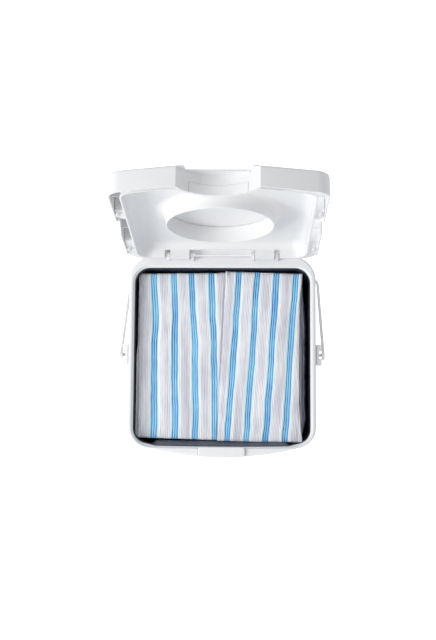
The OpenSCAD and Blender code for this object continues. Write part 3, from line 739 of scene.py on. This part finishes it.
# ------------------------------------------------------------------ the stacks of folded pads under them
def build_stack(node, seed, layers=18):
    lo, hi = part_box(node)
    me = nodes[node].data
    co = coords(me)

    def section(z_lo, z_hi):
        p = co[(co[:, 2] >= z_lo) & (co[:, 2] <= z_hi)][:, :2]
        return p

    def hull(p):
        p = sorted(set(map(tuple, np.round(p, 7))))
        def half(q):
            out = []
            for a in q:
                while len(out) > 1 and (out[-1][0] - out[-2][0]) * (a[1] - out[-2][1]) - \
                        (out[-1][1] - out[-2][1]) * (a[0] - out[-2][0]) <= 0:
                    out.pop()
                out.append(a)
            return out
        return half(p)[:-1] + half(p[::-1])[:-1]

    n = 96
    bottom = hull(section(lo.z - 1e-4, lo.z + 1.2 * MM))
    topo = hull(section(hi.z - 10.5 * MM, hi.z + 1e-4))

    def ring_of(pts, inset, centre):
        p = resample([tuple(np.array(q) - centre) for q in pts], n, -90.0)
        # round the corners a little by averaging
        for _ in range(3):
            p = 0.5 * p + 0.25 * (np.roll(p, 1, 0) + np.roll(p, -1, 0))
        r = np.linalg.norm(p, axis=1, keepdims=True)
        t = np.roll(p, -1, 0) - np.roll(p, 1, 0)
        nn = np.stack([t[:, 1], -t[:, 0]], 1)
        nn /= np.linalg.norm(nn, axis=1, keepdims=True)
        return p - nn * inset + centre

    cb, ct = np.mean(bottom, 0), np.mean(topo, 0)
    rng = np.random.default_rng(seed)
    verts, pins, rings = [], [], []
    hz = (hi.z - lo.z) / layers
    for k in range(layers):
        shift = rng.uniform(-1, 1, 2) * np.array([1.0, 1.3]) * MM
        tuck = rng.uniform(0.6, 2.0) * MM
        for f, ins in ((0.04, 2.4), (0.16, 0.7), (0.38, 0.0), (0.62, 0.0), (0.84, 0.7), (0.96, 2.4)):
            z = lo.z + hz * (k + f)
            t = (z - lo.z) / (hi.z - lo.z)
            a = ring_of(bottom, ins * MM + tuck, cb)
            b = ring_of(topo, ins * MM + tuck, ct)
            p = a + (b - a) * t + shift * min(1.0, 4 * t, 4 * (1 - t) + 0.2)
            rings.append(len(verts))
            verts += [(x, y, z) for x, y in p]
            pins += [1.0 if f in (0.04, 0.96) else 0.0] * n
    faces = []
    for r0, r1 in zip(rings, rings[1:]):
        faces += [[r0 + i, r0 + (i + 1) % n, r1 + (i + 1) % n, r1 + i] for i in range(n)]
    for base, flip in ((rings[0], True), (rings[-1], False)):
        prev = base
        cx = np.mean([verts[base + i] for i in range(n)], 0)
        for sc in (0.85, 0.6, 0.3):
            ring = len(verts)
            for i in range(n):
                q = np.array(verts[base + i])
                verts.append(tuple(cx + (q - cx) * sc))
                pins.append(1.0)
            for i in range(n):
                f = [prev + i, prev + (i + 1) % n, ring + (i + 1) % n, ring + i]
                faces.append(f[::-1] if flip else f)
            prev = ring
        c = len(verts)
        verts.append(tuple(cx))
        pins.append(1.0)
        for i in range(n):
            f = [prev + i, prev + (i + 1) % n, c]
            faces.append(f[::-1] if flip else f)
    o = make(node + "_cloth", verts, faces, [plain])
    simulate(o, pins, 2.0, 14, cap=1.6 * MM)
    subdivide(o, 1)
    me = o.data
    q, nr = coords(me), normals(me)
    side = 1 - np.abs(nr[:, 2])
    w = fractal(q * np.array([30.0, 30.0, 90.0]), 1.0, seed, 3)
    q = q + nr * (0.5 * MM * w * side)[:, None]
    q[:, 2] = np.clip(q[:, 2], lo.z, hi.z)
    put_coords(me, q)
    # ribs follow the folded edge: across x on the ends, across y on the sides
    u = np.where(np.abs(nr[:, 1]) > np.abs(nr[:, 0]), q[:, 0], q[:, 1]) * 1000
    set_attr(me, "pad_u", u + 600)
    set_attr(me, "pad_v", q[:, 2] * 1000)
    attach(o, "pail_body")
    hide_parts(node)
    return o


stacks = [build_stack("pad_stack_left", 21), build_stack("pad_stack_right", 34)]


# ------------------------------------------------------------------ the liner bag
def build_liner():
    n = 300
    zs = [liner_lo.z, liner_lo.z + 1.5 * MM, liner_lo.z + 6 * MM]
    zs += list(np.linspace(liner_lo.z + 16 * MM, H - 60 * MM, 30))
    zs += list(np.linspace(H - 52 * MM, H - 9 * MM, 14))
    z_top = H - 9 * MM
    body = lambda z: 5 * MM + (H - 14 * MM - z) * SLOPE
    low = resample(rim_pts(body(14 * MM) + (2.6 + 0.9) * MM, 16), n)
    lowest = resample(rim_pts(body(9 * MM) + (2.6 + 3.4) * MM, 16), n)
    high = resample(open_pts(0.2 * MM, 16), n)
    lip = resample(open_pts(0.2 * MM, 16), n)
    verts, pins = [], []
    for z in zs:
        if z <= 14 * MM:
            t = (z - liner_lo.z) / max(14 * MM - liner_lo.z, 1e-6)
            p = lowest + (low - lowest) * min(1, t)
        elif z < H - 30 * MM:
            t = (z - 14 * MM) / (H - 44 * MM)
            p = low + (high - low) * t
        else:
            t = (z - (H - 30 * MM)) / (21 * MM)
            p = high + (lip - high) * t
        p = p.copy()
        # the bag leans in along the front, as a sloping hem
        x = p[:, 0]
        front = p[:, 1] < -0.12
        depth = z_top - z
        lean = np.interp(depth, [0, 3 * MM, 17 * MM, 21 * MM, 60 * MM], [0, 0.5 * MM, 10.5 * MM, 8.5 * MM, 1 * MM])
        share = np.clip((129 * MM - np.abs(x + 3 * MM)) / (14 * MM), 0, 1)
        p[:, 1] += np.where(front, lean * share, 0)
        verts += [(a, b, z) for a, b in p]
        pins += [1.0 if (z > H - 26 * MM or z < liner_lo.z + 8 * MM) else 0.0] * n
    faces = []
    for k in range(len(zs) - 1):
        a, b = k * n, (k + 1) * n
        faces += [[a + i, a + (i + 1) % n, b + (i + 1) % n, b + i] for i in range(n)]
    # the bottom
    prev = 0
    c0 = np.mean(verts[:n], 0)
    for sc in (0.8, 0.55, 0.3):
        ring = len(verts)
        for i in range(n):
            q = np.array(verts[i])
            verts.append(tuple(c0 + (q - c0) * sc))
            pins.append(1.0)
        faces += [[prev + (i + 1) % n, prev + i, ring + i, ring + (i + 1) % n] for i in range(n)]
        prev = ring
    c = len(verts)
    verts.append(tuple(c0))
    pins.append(1.0)
    faces += [[prev + (i + 1) % n, prev + i, c] for i in range(n)]
    # a loose fold of the film stands along the right-hand pads
    m_f, k_f = ((180, 14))
    base = len(verts)
    ys = np.linspace(-150 * MM, 118 * MM, m_f)
    for j in range(k_f):
        t = j / (k_f - 1)
        for i, y in enumerate(ys):
            ends = min(1.0, (y + 150 * MM) / (26 * MM), (118 * MM - y) / (60 * MM))
            wave = 0.35 * MM * math.sin(y * 120 + 1.1 + 3 * t) + 0.25 * MM * math.sin(y * 310 + 2.0 + 5 * t)
            xp = float(np.interp(y * 1000, [-167, -90, 90, 143], [147, 141.8, 144, 148])) * MM
            room = 158.0 * MM - xp
            xx = xp + (0.2 * MM + 0.62 * room * t) * (0.25 + 0.75 * max(ends, 0.0)) + wave * t
            pleat = math.sin(t * 11.0 + 0.6 * math.sin(y * 23.0)) * 0.7 * MM
            zz = H - (20.2 + 4.5 * t ** 2) * MM + pleat * min(1.0, 3 * t)
            verts.append((xx, y, zz))
            pins.append(0.35 if 0 < j < k_f - 1 else 1.0)
    for j in range(k_f - 1):
        for i in range(m_f - 1):
            a = base + j * m_f + i
            faces.append([a, a + 1, a + m_f + 1, a + m_f])
    o = make("liner_bag_film", verts, faces, [liner_mat])
    rest = coords(o.data)
    fold = np.arange(len(verts)) >= base
    simulate(o, pins, 0.0, 14, mass=0.05, stiff=3.0, bend=0.02, grow=0.035, cap=2.2 * MM)
    co, nr = coords(o.data), normals(o.data)
    # vertical gathers and crinkles, kept on the outer side of the pads
    ang = np.arctan2(co[:, 1], co[:, 0])
    around = np.stack([np.cos(ang) * 3.2, np.sin(ang) * 3.2, co[:, 2] * 3.0], 1)
    gather = fractal(around, 4.5, 12, 3)
    crinkle = fractal(co, 55.0, 13, 2)
    near_top = np.clip((z_top - co[:, 2]) / (16 * MM), 0, 1)
    outward = np.clip(0.5 + 0.5 * gather, 0, 1) * 1.5 * MM * near_top + 0.35 * MM * crinkle
    flat = rest.copy()
    flat[:, 2] = 0
    flat /= np.maximum(np.linalg.norm(flat, axis=1, keepdims=True), 1e-6)
    wall = (rest[:, 2] > liner_lo.z + 8 * MM) & ~fold
    co = co + flat * (outward * wall)[:, None]
    streak = fractal(rest * np.array([420.0, 22.0, 90.0]), 1.0, 31, 3)
    co[fold, 2] += 0.7 * MM * streak[fold]
    co[:, 2] = np.clip(co[:, 2], liner_lo.z, z_top)
    # never beyond the pail's inner wall
    ang = np.arctan2(co[:, 1], co[:, 0])
    rad = np.hypot(co[:, 0], co[:, 1])
    for z in np.unique(np.round(rest[~fold, 2], 6)):
        row = (np.abs(rest[:, 2] - z) < 1e-5) & ~fold
        inset = (2.6 + 5.0 + 27.38 * (335 - min(max(z / MM, 13), 335)) / 322 + 0.7) * MM
        if z < 13 * MM:
            inset += 1.6 * MM
        room = polar(rim_pts(inset, 24))
        if z > H - 16 * MM:
            room = (room[0], np.minimum(room[1], np.interp(room[0], *polar(open_pts(0.15 * MM, 24)))))
        lim = np.interp(ang[row], *room)
        k = np.minimum(1.0, lim / np.maximum(rad[row], 1e-6))
        co[row, 0] *= k
        co[row, 1] *= k
    # the cut edge of the film waves up and down a little
    edge = (rest[:, 2] > z_top - 0.1 * MM) & ~fold
    co[edge, 2] += 0.6 * MM * fractal(co[edge], 60.0, 5, 2) - 0.5 * MM
    put_coords(o.data, co)
    # painted light along the front hem, where the film faces up into the light, and over the fold: lightest beside the
    # pads, falling off outward as painted shade
    dep = z_top - rest[:, 2]
    painted_light_mask = np.where((rest[:, 1] < -0.12) & (dep < 20 * MM),
                   0.62 * np.clip((129 * MM - np.abs(rest[:, 0] + 3 * MM)) / (10 * MM), 0, 1) * np.clip(1.15 - dep / (24 * MM), 0, 1), 0)
    across = (np.arange(len(verts))[fold] - base) // m_f / (k_f - 1)
    painted_light_mask[fold] = np.clip(1.0 - 0.55 * across + 0.35 * np.clip(streak[fold], -1, 1), 0, 1)
    set_attr(o.data, "painted_light_mask", painted_light_mask)
    sol = o.modifiers.new("film", "SOLIDIFY")
    sol.thickness = 0.35 * MM
    sol.offset = 0
    dg = bpy.context.evaluated_depsgraph_get()
    me = bpy.data.meshes.new_from_object(o.evaluated_get(dg), depsgraph=dg)
    o.modifiers.remove(sol)
    o.data = me
    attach(o, "pail_body")
    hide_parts("liner_bag")
    return o


liner = build_liner()

# ------------------------------------------------------------------ floor, light and camera
fm = Mat("floor_paper")
fn = fm.noise(3.0, 3.0, 0.5)
fg = fm.noise(240.0, 3.0, 0.6)
fm.set(Base_Color=fm.mix(fn, (0.90, 0.90, 0.90), (0.93, 0.93, 0.93)), Roughness=0.9,
       Normal=fm.bump(fg, 0.1 * MM, 0.2))
fm.b.inputs["Emission Color"].default_value = (1, 1, 1, 1)
path = fm.node("ShaderNodeLightPath")
fm.put(fm.b.inputs["Emission Strength"], fm.rng(path.outputs["Is Camera Ray"], 0.0, 1.0, 0.12, 0.9))
floor = make("floor", [(-25, -25, 0), (25, -25, 0), (25, 25, 0), (-25, 25, 0)], [[0, 1, 2, 3]], [fm.m])

world = bpy.data.worlds.new("studio")
world.use_nodes = True
wt = world.node_tree
wt.nodes["Background"].inputs[0].default_value = (0.97, 0.985, 1.0, 1)
wt.nodes["Background"].inputs[1].default_value = 0.66
scene.world = world


def area(name, place, target, size, power, colour=(1, 1, 1)):
    d = bpy.data.lights.new(name, "AREA")
    d.shape = "RECTANGLE"
    d.size, d.size_y = size
    d.energy = power
    d.color = colour
    o = bpy.data.objects.new(name, d)
    scene.collection.objects.link(o)
    o.location = place
    o.rotation_euler = (Vector(target) - Vector(place)).to_track_quat("-Z", "Y").to_euler()
    return o


area("key", (-2.2, -0.8, 1.95), (0, 0.08, 0.38), (1.1, 1.5), 52.0, (1.0, 0.99, 0.975))
area("fill", (-0.5, -2.3, 1.4), (0, 0.1, 0.4), (2.0, 1.2), 5.0)

scene.view_settings.view_transform = "Standard"
scene.view_settings.look = "None"
scene.view_settings.exposure = 0.0
scene.view_settings.gamma = 1.0

# The camera: elevation 83.06 and azimuth 11 degrees, tipped 10.7 degrees in its own plane
el, az, roll = math.radians(83.056), math.radians(10.997), math.radians(-10.727)
target = Vector((-7.513, 53.717, 340.0)) * MM
back = Vector((math.cos(el) * math.sin(az), -math.cos(el) * math.cos(az), math.sin(el)))
right = Vector((math.cos(az), math.sin(az), 0))
upv = right.cross(-back)
r2 = right * math.cos(roll) + upv * math.sin(roll)
u2 = -right * math.sin(roll) + upv * math.cos(roll)
cam = bpy.data.cameras.new("camera")
cam.sensor_width = 36.0
cam.sensor_fit = "AUTO"
cam.lens = 1111.74 * 36.0 / 640.0
cam.clip_start, cam.clip_end = 0.05, 50.0
co = bpy.data.objects.new("camera", cam)
scene.collection.objects.link(co)
m = Matrix.Identity(4)
for k in range(3):
    m[k][0], m[k][1], m[k][2] = r2[k], u2[k], back[k]
    m[k][3] = (target + back * 2.024855)[k]
co.matrix_world = m
scene.camera = co
